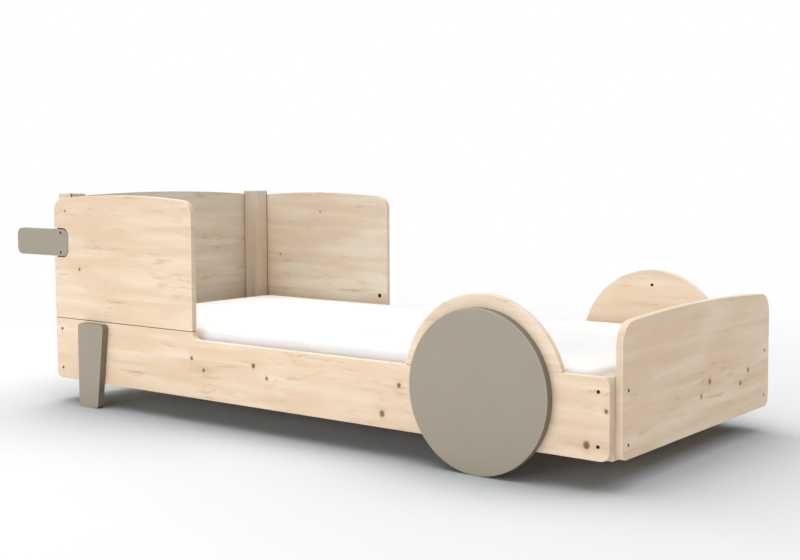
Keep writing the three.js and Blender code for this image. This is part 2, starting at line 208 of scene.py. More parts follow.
def screw_bores(node, axis, words):
    """The holes that screws need in a board, worked out from the boxes of the board and of the screws
    whose names start with one of the words: (u, v, enters at the high face, profile, goes through).
    A profile is rows (radius, depth from the face where the screw comes in)."""
    low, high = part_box(node)
    side = node.rsplit("_", 1)[-1]
    others = other_axes(axis)
    bores = []
    for name in sorted(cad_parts):
        if not name.startswith(words):
            continue
        if side in ("near", "far") and f"_{side}" not in name:
            continue
        screw_low, screw_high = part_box(name)
        if screw_high[axis] < low[axis] or screw_low[axis] > high[axis]:
            continue
        middle = (screw_low + screw_high) / 2
        head_radius = (screw_high[others[0]] - screw_low[others[0]]) / 2
        ends = (screw_low[axis], screw_high[axis])
        head, tip = ends if head_first(name) else ends[::-1]
        way = math.copysign(1, tip - head)
        entry, far = (low[axis], high[axis]) if way > 0 else (high[axis], low[axis])
        start = (head - entry) * way
        length = abs(tip - head)
        deepest = abs(far - entry)
        shank = SCREW_SHANK_RADIUS + SCREW_PLAY
        end = min(start + length + SCREW_PLAY, deepest)
        profile = [(shank, 0), (shank, end)]
        if start >= 0:
            sink = head_radius + SCREW_PLAY
            seat = start + SCREW_HEAD_HEIGHT + SCREW_PLAY
            profile = [(sink, 0), (sink, seat), (shank, seat), (shank, end)]
        through = end >= deepest - WELD
        bores.append((middle[others[0]], middle[others[1]], way < 0, profile, through))
    return bores


def head_first(name):
    """True if a screw's head is at the low end of its box. Screws at the rails, handles and end boards
    come from outside; those in the mudguards, wheels and legs come from inside the bed."""
    low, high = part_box(name)
    middle = (low + high) / 2
    axis = int(np.argmax(np.array(high - low)))
    from_inside = name.startswith(("mudguard", "wheel", "leg"))
    return (middle[axis] < 0) != from_inside


def edge_rings(shape, low, high, axis, radius, steps):
    """The rings of an edge between two depths, with a quarter round at both, and the turn of each ring: at
    a turn of t the edge is drawn in by radius x (1 - sin t) at a depth of radius x (1 - cos t)."""
    points, outward = shape
    quarter = np.linspace(0, math.pi / 2, steps + 1)
    turns = np.concatenate([quarter, quarter[::-1]])
    depth = radius * (1 - np.cos(quarter))
    depths = np.concatenate([low + depth, high - depth[::-1]])
    insets = radius * (1 - np.sin(turns))
    return [placed(points - outward * i, d, axis) for i, d in zip(insets, depths)], turns


def board(name, shape, low, high, axis, bores=(), arris=ARRIS):
    """A flat board: two faces joined by an edge whose arrises are quarter rounds. Each bore is its profile
    turned about its axis, and the faces are filled round the bores' mouths."""
    rings, turns = edge_rings(shape, low, high, axis, arris, ARRIS_STEPS)
    corners = [np.concatenate(rings)]
    faces = grid_faces(len(rings), len(rings[0])).tolist()
    edge_count = count = len(corners[0])
    mouths = {False: [], True: []}
    circle = unit_circle(BORE_SIDES)
    for u, v, from_high, profile, through in bores:
        face, way = (high, -1) if from_high else (low, 1)
        tube = [placed(np.array([u, v]) + r * circle, face + way * d, axis) for r, d in profile]
        quads = grid_faces(len(tube), BORE_SIDES) + count
        faces += quads.tolist()
        mouths[from_high].append(tube[0])
        if through:
            mouths[not from_high].append(tube[-1])
        else:
            last = count + (len(tube) - 1) * BORE_SIDES
            faces.append(list(range(last, last + BORE_SIDES)))
        corners.append(np.concatenate(tube))
        count += len(tube) * BORE_SIDES
    others = other_axes(axis)
    for from_high, ring in ((False, rings[0]), (True, rings[-1])):
        loops = [ring] + mouths[from_high]
        fill = tessellate_polygon([[Vector((*row[others], 0)) for row in loop] for loop in loops])
        faces += (np.array(fill) + count).tolist()
        corners.append(np.concatenate(loops))
        count += len(corners[-1])
    shares = np.zeros((2, count))
    # Shares at each ring of the edge: a painted highlight, strongest in the middle of each arris, and the
    # narrow side.
    painted_light_share, rim = np.sin(2 * turns), np.sin(turns) ** RIM_SHARPNESS
    shares[:, :edge_count] = np.repeat([painted_light_share, rim], len(rings[0]), axis=1)
    made = finished_mesh(name, np.concatenate(corners), faces, *shares)
    even_shading(made, axis)
    return made


def mesh_points(mesh):
    """The corners of a mesh as rows (x, y, z)."""
    points = np.empty(len(mesh.vertices) * 3, np.float32)
    mesh.vertices.foreach_get("co", points)
    return points.reshape(-1, 3).astype(float)


def paint_joint_shade(made, low, high):
    """Marks the corners of a board that lie in a box with -1 as their share of painted light: there the
    arris closes a joint, and the wood is painted dark as the shade in the joint's gap."""
    points = mesh_points(made.data)
    inside = np.all((points >= low) & (points <= high), axis=1)
    painted_light = made.data.attributes["painted_light"]
    share = np.empty(len(points), np.float32)
    painted_light.data.foreach_get("value", share)
    share[inside] = -1
    painted_light.data.foreach_set("value", share)


def even_shading(made, axis):
    """Keeps the faces of a board flat in the light: the edges round the two broad faces are sharp, and
    the narrow sides, as the larger faces, set the shading where they meet the arrises."""
    work = bmesh.new()
    work.from_mesh(made.data)
    for edge in work.edges:
        broad = [abs(face.normal[axis]) > BROAD_FACE for face in edge.link_faces]
        edge.smooth = edge.smooth and (all(broad) or not any(broad))
    work.to_mesh(made.data)
    work.free()
    weighted = made.modifiers.new("even shading", "WEIGHTED_NORMAL")
    weighted.keep_sharp = True
    weighted.weight = LARGEST_FACES_FIRST


class Nodes:
    """The shader nodes of one material, or of the surroundings, with short ways to add them."""

    def __init__(self, owner):
        owner.use_nodes = True
        self.owner = owner
        self.tree = owner.node_tree
        self.shader = self.tree.nodes.get("Principled BSDF")

    def add(self, kind, **settings):
        """A new node with its settings."""
        node = self.tree.nodes.new(kind)
        for key, value in settings.items():
            setattr(node, key, value)
        return node

    def feed(self, socket, value):
        """Links an output to a socket, or gives the socket a plain value."""
        if isinstance(value, bpy.types.NodeSocket):
            self.tree.links.new(value, socket)
        else:
            socket.default_value = value

    def output(self, kind, *values, **settings):
        """The first output of a new node whose inputs take the values in their order."""
        node = self.add(kind, **settings)
        for socket, value in zip(node.inputs, values):
            self.feed(socket, value)
        return node.outputs[0]

    def named(self, kind, values, **settings):
        """The first output of a new node whose inputs of these names take these values."""
        node = self.add(kind, **settings)
        for word, value in values.items():
            self.feed(node.inputs[word], value)
        return node.outputs[0]

    def step(self, operation, *values, clamp=False):
        """One step of arithmetic."""
        return self.output("ShaderNodeMath", *values, operation=operation, use_clamp=clamp)

    # first + second, first - second, first / second, and value x factor + offset.
    plus = functools.partialmethod(step, "ADD")
    minus = functools.partialmethod(step, "SUBTRACT")
    over = functools.partialmethod(step, "DIVIDE")
    scaled = functools.partialmethod(step, "MULTIPLY_ADD")

    def times(self, first, second, clamp=False):
        """first x second."""
        if not any(isinstance(value, bpy.types.NodeSocket) for value in (first, second)):
            return first * second
        return self.step("MULTIPLY", first, second, clamp=clamp)

    def length(self, first, second):
        """The square root of first x first + second x second."""
        return self.step("SQRT", self.plus(self.times(first, first), self.times(second, second)))

    def greatest(self, values):
        """The greatest of several values."""
        return functools.reduce(lambda first, second: self.step("MAXIMUM", first, second), values)

    def ramp(self, value, low, high, start=0.0, end=1.0):
        """A smooth step from start to end while the value goes from low to high."""
        limits = (low, high, start, end)
        return self.output("ShaderNodeMapRange", value, *limits, interpolation_type="SMOOTHSTEP")

    def vector(self, x, y, z):
        """Three values as one vector."""
        return self.output("ShaderNodeCombineXYZ", x, y, z)

    def parts(self, vector):
        """The three values of a vector."""
        node = self.add("ShaderNodeSeparateXYZ")
        self.feed(node.inputs[0], vector)
        return node.outputs

    def mark(self, word):
        """The share that a mesh keeps at its corners under this word."""
        return self.add("ShaderNodeAttribute", attribute_name=word).outputs["Fac"]

    def noise(self, place, detail=2.0, roughness=0.5, scale=1.0):
        """A noise from 0 to 1 at place x scale."""
        values = {"Vector": place, "Scale": scale, "Detail": detail, "Roughness": roughness}
        return self.named("ShaderNodeTexNoise", values, noise_dimensions="3D")

    def stretched(self, place, rates, detail=2.0, roughness=0.5):
        """A noise over three values, each times its own rate."""
        return self.noise(self.vector(*map(self.times, place, rates)), detail, roughness)

    def mix(self, share, first, second, blend="MIX"):
        """The share of the second colour over the first."""
        node = self.add("ShaderNodeMix", data_type="RGBA", blend_type=blend)
        colours = [socket for socket in node.inputs if socket.type == "RGBA"]
        self.feed(node.inputs[0], share)
        self.feed(colours[0], first)
        self.feed(colours[1], second)
        return next(socket for socket in node.outputs if socket.type == "RGBA")

    def toned(self, colour, tone):
        """colour x tone, with one tone for red, green and blue."""
        return self.mix(1.0, colour, self.vector(tone, tone, tone), "MULTIPLY")

    def bump(self, height, strength, distance, normal=None):
        """The surface's direction, tilted by the slope of the height."""
        values = {"Strength": strength, "Distance": distance, "Height": height}
        if normal is not None:
            values["Normal"] = normal
        return self.named("ShaderNodeBump", values)

    def surface(self, colour, roughness, normal, **others):
        """Gives the shader its colour, roughness, direction and other values, and returns the material."""
        values = {"Base Color": colour, "Roughness": roughness, "Normal": normal, **others}
        for word, value in values.items():
            self.feed(self.shader.inputs[word], value)
        return self.owner


def srgb(red, green, blue):
    """A colour given in the usual 0 to 255 steps, as linear light."""
    steps = np.array([red, green, blue]) / 255
    linear = np.where(steps <= 0.04045, steps / 12.92, ((steps + 0.055) / 1.055) ** 2.4)
    return (*linear.tolist(), 1.0)


PINE_PALE = srgb(250, 234, 212)
PINE_WARM = srgb(239, 213, 181)
PINE_ROSY = srgb(239, 211, 184)
PINE_LATE = srgb(224, 190, 152)
PINE_STREAK = srgb(206, 172, 138)
PINE_END = srgb(226, 205, 180)
# A painted highlight for the arrises, and a painted shade for the joints.
PINE_PAINTED_HIGHLIGHT = srgb(255, 243, 224)
PINE_PAINTED_JOINT_SHADE = srgb(92, 76, 60)
KNOT_CORE = srgb(100, 68, 42)
KNOT_HALO = srgb(228, 196, 164)

# The staves, and where each one's pith lies: beside the stave's start in stave widths, behind in metres.
STAVE_WIDTH = 0.118
STAVE_SHIFT = 0.037
STAVE_CHANCE = 7.31
STAVE_START = 9.0
BOARD_START = 1.7
PITH_BESIDE = (1.2, -0.1)
PITH_BEHIND = 0.03
PITH_BEHIND_STEP = 0.011
PITH_BEHIND_STEPS = 3
PITH_BEHIND_SPREAD = 0.05
RING_SPACING = 0.0034
LATE_POWER = 2.2
LATE_END = (1.0, 0.9)
SLOW_WANDER = 0.052
RIPPLE_WANDER = 0.009
SLOW_FLOW = 0.016
RIPPLE_FLOW = 0.003

# Each figure of the wood is a noise: its rates along the grain, across it, and in depth or from board to
# board, then its detail and, for the smudges, its roughness.
SLOW = ((1.3, 7.0, 7.0), 1.0)
RIPPLE = ((7.0, 26.0, 26.0), 2.0)
STRENGTH = ((2.1, 19.0, 1.0), 2.0)
FIBRE = ((38.0, 900.0, 900.0), 2.0)
BANDS = ((2.4, 27.0, 3.1), 3.0)
PATCHES = ((3.0, 9.0, 1.9), 2.0)
CLOUDS = ((5.0, 14.0, 2.3), 1.0)
RISING = ((15.0, 150.0, 5.3), 1.0)
FALLING = ((15.0, 150.0, 6.7), 1.0)
SMUDGES = ((9.0, 60.0, 4.1), 3.0, 0.6)
RISING_SLOPE = -0.3
FALLING_SLOPE = 0.24

# The stretch of each noise over which its figure comes up, and where two more numbers follow, the shares
# that it goes from and to.
STRENGTH_SHOWS = (0.38, 0.68, 0.25, 1.0)
BANDS_SHOW = (0.3, 0.74)
PATCHES_SHOW = (0.42, 0.72, 0.0, 0.8)
STROKES_SHOW = (0.6, 0.76)
RISING_CLOUDS = (0.62, 0.7)
FALLING_CLOUDS = (0.36, 0.28)
SMUDGES_SHOW = (0.52, 0.74)
SMUDGE_CLOUDS = (0.46, 0.62)
FEATHER_BANDS = (0.4, 0.7, 0.0, 0.4)

# How strongly each colour goes over the wood, from where a side counts as end grain, and the tones as
# (factor, offset).
LATE_SHARE = 0.13
SMUDGE_SHARE = 0.6
STROKE_SHARE = 0.55
HALO_SHARE = 0.45
CORE_SHARE = (0.16, 0.8)
END_SHARE = 0.5
END_FACING = (0.6, 0.92)
# How strongly the painted highlight and the painted joint shade go over the wood.
PAINTED_HIGHLIGHT_SHARE = 0.75
PAINTED_JOINT_SHADE_SHARE = 0.9
STAVE_TONE = (0.05, 0.965)
FIBRE_TONE = (0.05, 0.975)
GLUE_LINE = (0.0, 0.004, 0.93, 1.0)
PINE_ROUGHNESS = 0.52
FIBRE_ROUGHNESS = 0.12
LATE_ROUGHNESS = -0.08
FIBRE_HEIGHT = 0.6
LATE_HEIGHT = 0.5
PINE_BUMP = (0.18, 0.0004)

# Round a knot, in its radii: how uneven its outline is, and how far its marks reach.
KNOT_SQUEEZE = 1.1
KNOT_UNEVEN = (0.7, -0.35)
SWELL_REACH = 4.2
SWELL_HEIGHT = 1.1
SWELL_FLOW = 0.5
CORE_EDGE = (1.15, 0.5)
HALO_EDGE = (2.6, 0.8)
FEATHER_SQUEEZE = 0.2
FEATHER_EDGE = (3.4, 0.6)


def knot_marks(wood, knot, along, across, ripple):
    """What one knot (along, across, radius) does to the wood: the swelling of the rings round it, and the
    shares of its dark core, of the halo round that and of the darker grain that feathers out of it along
    the board. Each falls with the distance from the knot's middle in radii, made uneven by the ripple.
    For the feathers the way along the board counts for a fifth."""
    at_along, at_across, radius = knot
    past = wood.times(wood.minus(along, at_along), KNOT_SQUEEZE)
    aside = wood.minus(across, at_across)
    away = wood.over(wood.length(past, aside), radius)
    away = wood.plus(away, wood.scaled(ripple, *KNOT_UNEVEN))
    drawn = wood.over(wood.length(wood.times(past, FEATHER_SQUEEZE), aside), radius)
    swell = wood.ramp(away, 0.0, SWELL_REACH, radius * SWELL_HEIGHT, 0.0)
    return swell, wood.ramp(away, *CORE_EDGE), wood.ramp(away, *HALO_EDGE), wood.ramp(drawn, *FEATHER_EDGE)


def slanting_strokes(wood, seed, along, across, shifted, clouds):
    """Short strokes that run at a slant to the grain, rising where the clouds are high and falling where
    they are low: a noise over across + slope x along, stretched along the grain."""
    families = ((RISING_SLOPE, RISING, RISING_CLOUDS), (FALLING_SLOPE, FALLING, FALLING_CLOUDS))
    strokes = []
    for slope, figure, where in families:
        leaning = wood.scaled(along, slope, across)
        family = wood.stretched((shifted, leaning, seed), *figure)
        strokes.append(wood.times(wood.ramp(family, *STROKES_SHOW), wood.ramp(clouds, *where)))
    return wood.greatest(strokes)


def pine(name, grain, seed, knots=(), tone_and_painted_light=(1.0, 1.0, 1.0)):
    """Solid pine. The grain letters name the axes along the grain, across the board's width and through
    it. Growth rings are shells about a pith line behind the board's face: ring number = (distance from
    the pith + slow wander + a swelling round each knot) / ring spacing. The board is glued up from
    staves, each with its own pith. Over the rings lie bands and patches of warmer wood, smudges, slanting
    strokes and the knots. The arrises get a painted highlight, and where an arris closes a joint it gets
    painted shade. The last argument is the board's own tone on the rails, the near panel and the
    footboard, painted shade on the headboard and the posts, and painted light on the far panel and the
    mudguards."""
    wood = Nodes(bpy.data.materials.new(name))
    place = wood.add("ShaderNodeTexCoord")
    axes = wood.parts(place.outputs["Object"])
    facing = wood.parts(place.outputs["Normal"])
    order = ["XYZ".index(letter) for letter in grain]
    along, across, through = (axes[k] for k in order)

    # The staves, with three chances of their own for each.
    staggered = wood.plus(across, seed * STAVE_SHIFT)
    stave_share = wood.over(staggered, STAVE_WIDTH)
    stave = wood.step("FLOOR", stave_share)
    chance = wood.add("ShaderNodeTexWhiteNoise", noise_dimensions="1D")
    wood.feed(chance.inputs["W"], wood.plus(stave, seed * STAVE_CHANCE))
    chances = wood.add("ShaderNodeSeparateColor")
    wood.feed(chances.inputs[0], chance.outputs["Color"])
    own_start, own_pith, own_depth = chances.outputs[:3]

    # Where the rings and the figures run.
    shifted = wood.plus(along, wood.scaled(own_start, STAVE_START, seed * BOARD_START))
    solid = (shifted, across, through)
    slow = wood.stretched(solid, *SLOW)
    ripple = wood.stretched(solid, *RIPPLE)
    fibre = wood.stretched(solid, *FIBRE)
    pith = wood.times(wood.plus(stave, wood.scaled(own_pith, *PITH_BESIDE)), STAVE_WIDTH)
    nearest = PITH_BEHIND + PITH_BEHIND_STEP * (seed % PITH_BEHIND_STEPS)
    behind = wood.plus(through, wood.scaled(own_depth, PITH_BEHIND_SPREAD, nearest))
    wander = wood.scaled(slow, SLOW_WANDER, wood.times(ripple, RIPPLE_WANDER))
    grown = wood.plus(wood.length(wood.minus(staggered, pith), behind), wander)
    flow = wood.plus(across, wood.scaled(slow, SLOW_FLOW, wood.times(ripple, RIPPLE_FLOW)))
    marks = [knot_marks(wood, knot, along, across, ripple) for knot in knots]
    for swell, *_ in marks:
        grown = wood.plus(grown, swell)
        flow = wood.plus(flow, wood.times(swell, SWELL_FLOW))

    # The late wood of each ring, and the figures over it.
    ring = wood.step("FRACT", wood.over(grown, RING_SPACING))
    late = wood.times(wood.step("POWER", ring, LATE_POWER), wood.ramp(ring, *LATE_END))
    late = wood.times(late, wood.ramp(wood.stretched(solid, *STRENGTH), *STRENGTH_SHOWS))
    flat = (shifted, flow, seed)
    bands = wood.stretched(flat, *BANDS)
    patches = wood.stretched(flat, *PATCHES)
    clouds = wood.stretched(flat, *CLOUDS)
    strokes = slanting_strokes(wood, seed, along, across, shifted, clouds)
    smudges = wood.ramp(wood.stretched(flat, *SMUDGES), *SMUDGES_SHOW)
    smudges = wood.times(smudges, wood.ramp(clouds, *SMUDGE_CLOUDS))

    # Their colours, one over the other.
    colour = wood.mix(wood.ramp(bands, *BANDS_SHOW), PINE_PALE, PINE_WARM)
    colour = wood.mix(wood.ramp(patches, *PATCHES_SHOW), colour, PINE_ROSY)
    colour = wood.mix(wood.times(late, LATE_SHARE), colour, PINE_LATE)
    colour = wood.mix(wood.times(smudges, SMUDGE_SHARE), colour, PINE_STREAK)
    colour = wood.mix(wood.times(strokes, STROKE_SHARE), colour, PINE_STREAK)
    tone = wood.times(wood.scaled(own_start, *STAVE_TONE), wood.scaled(fibre, *FIBRE_TONE))
    glued = wood.step("FRACT", wood.plus(stave_share, 0.5))
    glued = wood.step("ABSOLUTE", wood.minus(glued, 0.5))
    colour = wood.toned(colour, wood.times(tone, wood.ramp(glued, *GLUE_LINE)))
    if marks:
        core, halo, feather = (wood.greatest(shares) for shares in list(zip(*marks))[1:])
        colour = wood.mix(wood.times(feather, wood.ramp(bands, *FEATHER_BANDS)), colour, PINE_STREAK)
        colour = wood.mix(wood.times(halo, HALO_SHARE), colour, KNOT_HALO)
        colour = wood.mix(wood.times(core, wood.scaled(ring, *CORE_SHARE)), colour, KNOT_CORE)
    end = wood.ramp(wood.step("ABSOLUTE", facing[order[0]]), *END_FACING)
    colour = wood.mix(wood.times(end, END_SHARE), colour, PINE_END)
    # Times the board's tone: its own on the rails, near panel and footboard; painted shade on the headboard
    # and posts; painted light on the far panel and mudguards.
    colour = wood.mix(1.0, colour, (*tone_and_painted_light, 1.0), "MULTIPLY")
    # A painted highlight along the arrises, and painted shade where an arris closes a joint.
    painted_light_share = wood.mark("painted_light")
    colour = wood.mix(wood.times(painted_light_share, PAINTED_HIGHLIGHT_SHARE, clamp=True), colour, PINE_PAINTED_HIGHLIGHT)
    colour = wood.mix(wood.times(painted_light_share, -PAINTED_JOINT_SHADE_SHARE, clamp=True), colour, PINE_PAINTED_JOINT_SHADE)

    roughness = wood.scaled(fibre, FIBRE_ROUGHNESS, wood.scaled(late, LATE_ROUGHNESS, PINE_ROUGHNESS))
    height = wood.plus(wood.times(fibre, FIBRE_HEIGHT), wood.times(late, LATE_HEIGHT))
    return wood.surface(colour, roughness, wood.bump(height, *PINE_BUMP))


def cover(node, made, material, body="frame"):
    """Puts a finished piece in the place of its plain CAD node."""
    made.data.materials.append(material)
    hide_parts(node)
    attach(made, body)


RAIL_TINT = (0.975, 0.955, 0.93)
RAIL_KNOTS = [(0.672, 0.201, 0.0075), (0.725, 0.169, 0.0065), (0.938, 0.202, 0.008), (0.992, 0.170, 0.0065),
              (1.485, 0.200, 0.008), (1.426, 0.117, 0.0105), (2.112, 0.201, 0.0065), (2.059, 0.115, 0.011)]

panel_low, panel_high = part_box("side_panel_near")
step_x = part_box("side_rail_near")[1].x - RAIL_STEP_FROM_FOOT
for seed, side in ((1, "near"), (2, "far")):
    node = f"side_rail_{side}"
    low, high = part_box(node)
    shape = outline([
        (low.x, low.z, RAIL_CORNER_RADIUS),
        (high.x, low.z, RAIL_CORNER_RADIUS),
        (high.x, RAIL_HIGH_TOP, RAIL_CORNER_RADIUS),
        (step_x, RAIL_HIGH_TOP, 0),
        (step_x, RAIL_LOW_TOP, 0),
        (panel_high.x, RAIL_LOW_TOP, RAIL_CORNER_RADIUS),
        (panel_high.x, RAIL_HIGH_TOP, 0),
        (low.x, RAIL_HIGH_TOP, 0),
    ])
    bores = screw_bores(node, ACROSS, RAIL_HOLE_WORDS)
    rail = board(f"{node}_board", shape, low.y, high.y, ACROSS, bores)
    # Painted shade along the seam under the head panel, and below, down the rail's end where it meets the
    # foot post.
    paint_joint_shade(rail, (low.x, low.y, RAIL_HIGH_TOP - JOINT_SHADE_REACH), (panel_high.x, high.y, RAIL_HIGH_TOP))
    post_y = high.y if side == "near" else low.y
    paint_joint_shade(rail, (high.x - ARRIS, post_y - ARRIS, low.z), (high.x, post_y + ARRIS, high.z))
    knots = [(low.x + x, z, r) for x, z, r in RAIL_KNOTS]
    cover(node, rail, pine(f"pine_{node}", "XZY", seed, knots, RAIL_TINT))


# Head side panels: an arched pine panel stands on the high end of each rail. The handle lies in a rebate
# in its outer face, and a cam lock in its inner face draws it down on dowels in the rail.
PANEL_CROWN = 0.016
TOP_CORNER_RADIUS = 0.046
HANDLE_CORNER_RADIUS = 0.024
HANDLE_SLOT = 0.004
HANDLE_LAP = 0.012
CUTTER_REACH = 0.004
LOCK_SIDES = 48
LOCK_EASE = 0.0006
LOCK_SOCKET_RADIUS = 0.0026
LOCK_SOCKET_DEPTH = 0.0025
LOCK_SOCKET_EASE = 0.0004
ARCH_STEPS = 40
ARCH_SAMPLES = 400
NEAR_PANEL_KNOTS = [(0.132, 0.449, 0.0065), (0.061, 0.640, 0.005)]
FAR_PANEL_KNOTS = [(0.139, 0.452, 0.005), (0.35, 0.62, 0.004)]
NEAR_PANEL_TINT = (0.955, 0.945, 0.915)
# The far panel is made paler and cooler: painted light.
FAR_PANEL_PAINTED_LIGHT = (1.03, 1.08, 1.12)
PANEL_SIDES = ((3, "near", NEAR_PANEL_KNOTS, NEAR_PANEL_TINT), (4, "far", FAR_PANEL_KNOTS, FAR_PANEL_PAINTED_LIGHT))
DARK_STEEL = srgb(34, 30, 27)
RUBBED_STEEL = srgb(104, 94, 84)
RUBBED_RATE = 420.0
RUBBED_SHOWS = (0.52, 0.72)
RUBBED_SHARE = 0.25
SCRATCH_RATE = 2600.0
SCRATCH_DETAIL = 3.0
SCRATCH_ROUGHNESS = (0.24, 0.3)
SCRATCH_BUMP = (0.12, 0.0001)
STEEL_METAL = 0.85
AXIS_RADIUS = 1e-7


def arched_top(left, right, apex, rise, radius):
    """The upper corners of an arched board, from right to left. The arch is a parabola that falls by
    the rise at both ends; each end is cut by a round corner, whose virtual corner lies where the
    upright side meets the arch's tangent at the point where the round ends."""
    middle, half = (left + right) / 2, (right - left) / 2
    share = np.linspace(0.5, 1, ARCH_SAMPLES)
    slope = -2 * rise * share / half
    height = apex - rise * share * share
    lean = 1 / np.hypot(1, slope)
    centre = middle + half * share + slope * lean * radius
    at = float(np.interp(right - radius, centre, share))
    end_slope = -2 * rise * at / half
    end_height = apex - rise * at * at
    corner_height = end_height + end_slope * half * (1 - at)
    inner = np.linspace(at, -at, ARCH_STEPS + 1)[1:-1]
    points = [(middle + half * s, apex - rise * s * s, None) for s in inner]
    return [(right, corner_height, radius), *points, (left, corner_height, radius)]


def steel(name):
    """Burnished dark steel, with a fine turned grain and paler wear in small patches."""
    metal = Nodes(bpy.data.materials.new(name))
    place = metal.add("ShaderNodeTexCoord").outputs["Object"]
    scratches = metal.noise(place, SCRATCH_DETAIL, scale=SCRATCH_RATE)
    rubbed = metal.ramp(metal.noise(place, scale=RUBBED_RATE), *RUBBED_SHOWS)
    colour = metal.mix(metal.times(rubbed, RUBBED_SHARE), DARK_STEEL, RUBBED_STEEL)
    roughness = metal.scaled(scratches, *SCRATCH_ROUGHNESS)
    return metal.surface(colour, roughness, metal.bump(scratches, *SCRATCH_BUMP), Metallic=STEEL_METAL)


def turned(name, profile, centre, axis, way, sides):
    """A turned body: the profile rows (radius, distance) carried round an axis through the centre; the
    first and last rows lie on the axis and close the body."""
    circle = unit_circle(sides)
    middle = np.array(centre)[other_axes(axis)]
    start = centre[axis]
    rings = [placed(middle + max(r, AXIS_RADIUS) * circle, start + way * d, axis) for r, d in profile]
    return finished_mesh(name, np.concatenate(rings), grid_faces(len(rings), sides).tolist())


def evaluated_copy(source):
    """The mesh of an object with its modifiers applied."""
    graph = bpy.context.evaluated_depsgraph_get()
    graph.update()
    return bpy.data.meshes.new_from_object(source.evaluated_get(graph), depsgraph=graph)


def cut_rebate(made, shape, low, high, depth, from_low):
    """Cuts a rebate of this outline and depth into the low or the high face of an upright side board, and
    shades what is left as a board."""
    reach = (low - CUTTER_REACH, low + depth) if from_low else (high - depth, high + CUTTER_REACH)
    waste = board(f"{made.name}_waste", shape, *reach, ACROSS, arris=SCREW_PLAY)
    made.modifiers.clear()
    cut = made.modifiers.new("cut", "BOOLEAN")
    cut.operation = "DIFFERENCE"
    cut.solver = "EXACT"
    cut.object = waste
    made.data = evaluated_copy(made)
    made.modifiers.clear()
    bpy.data.objects.remove(waste)
    made.data.shade_smooth()
    made.data.set_sharp_from_angle(angle=SHARP_ANGLE)
    even_shading(made, ACROSS)


steel_finish = steel("burnished_steel")
for seed, side, spots, tone_and_painted_light in PANEL_SIDES:
    node = f"side_panel_{side}"
    low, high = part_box(node)
    handle_low, handle_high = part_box(f"handle_{side}")
    lock_low, lock_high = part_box(f"panel_lock_{side}")
    lock = (lock_low + lock_high) / 2
    lock_radius = (lock_high.x - lock_low.x) / 2
    lock_depth = lock_high.y - lock_low.y
    shape = outline([
        (low.x, low.z, 0),
        (high.x, low.z, 0),
        *arched_top(low.x, high.x, high.z, PANEL_CROWN, TOP_CORNER_RADIUS),
    ])
    pocket = [(lock_radius + SCREW_PLAY, 0), (lock_radius + SCREW_PLAY, lock_depth + SCREW_PLAY)]
    lock_bore = (lock.x, lock.z, side == "near", pocket, False)
    bores = [lock_bore, *screw_bores(node, ACROSS, ("handle_screw_",))]
    panel = board(f"{node}_board", shape, low.y, high.y, ACROSS, bores)
    slot_end = handle_high.x + HANDLE_SLOT
    slot_bottom = handle_low.z - HANDLE_SLOT
    slot_top = handle_high.z + HANDLE_SLOT
    slot_radius = HANDLE_CORNER_RADIUS + HANDLE_SLOT
    slot = rectangle(low.x - CUTTER_REACH, slot_bottom, slot_end, slot_top, 0, slot_radius)
    cut_rebate(panel, slot, low.y, high.y, HANDLE_LAP + SCREW_PLAY, side == "near")
    # Painted shade along the panel's foot where it stands on the rail, and on the walls of the handle's
    # rebate.
    paint_joint_shade(panel, (low.x, low.y, low.z), (high.x, high.y, low.z + JOINT_SHADE_REACH))
    slot_low = (low.x, low.y + JOINT_SHADE_REACH, slot_bottom - SCREW_PLAY)
    slot_high = (slot_end + SCREW_PLAY, high.y - JOINT_SHADE_REACH, slot_top + SCREW_PLAY)
    paint_joint_shade(panel, slot_low, slot_high)
    knots = [(low.x + x, z, r) for x, z, r in spots]
    cover(node, panel, pine(f"pine_{node}", "XZY", seed, knots, tone_and_painted_light))

    inner, way = (lock_high.y, -1) if side == "near" else (lock_low.y, 1)
    profile = [
        (0, LOCK_SOCKET_DEPTH), (LOCK_SOCKET_RADIUS, LOCK_SOCKET_DEPTH),
        (LOCK_SOCKET_RADIUS, LOCK_SOCKET_EASE), (LOCK_SOCKET_RADIUS + LOCK_SOCKET_EASE, 0),
        (lock_radius - LOCK_EASE, 0), (lock_radius, LOCK_EASE), (lock_radius, lock_depth), (0, lock_depth),
    ]
    cam = turned(f"panel_lock_{side}_cam", profile, (lock.x, inner, lock.z), ACROSS, way, LOCK_SIDES)
    cover(f"panel_lock_{side}", cam, steel_finish)


# Corner posts: square pine posts stand inside the rails, tall at the head and short at the foot. The
# rails are screwed to their outer faces, and the end boards to their end faces.
POST_ARRIS = 0.003
POST_TOP_ARRIS = 0.0016
POST_EASE = 0.006
# The posts are made darker and cooler: painted shade.
POST_PAINTED_SHADE = (0.84, 0.895, 0.96)


def square_outline(low, high):
    """The outline of a post: its four corners, each with a point a little way off on both sides, so that
    a mark on one corner stays there."""
    corners = np.array([(low.x, low.y), (high.x, low.y), (high.x, high.y), (low.x, high.y)])
    following = np.roll(corners, -1, axis=0)
    points = []
    for corner, after, on in zip(corners, following, unit(following - corners) * POST_EASE):
        points += [(*corner, POST_ARRIS), (*(corner + on), None), (*(after - on), None)]
    return outline(points)


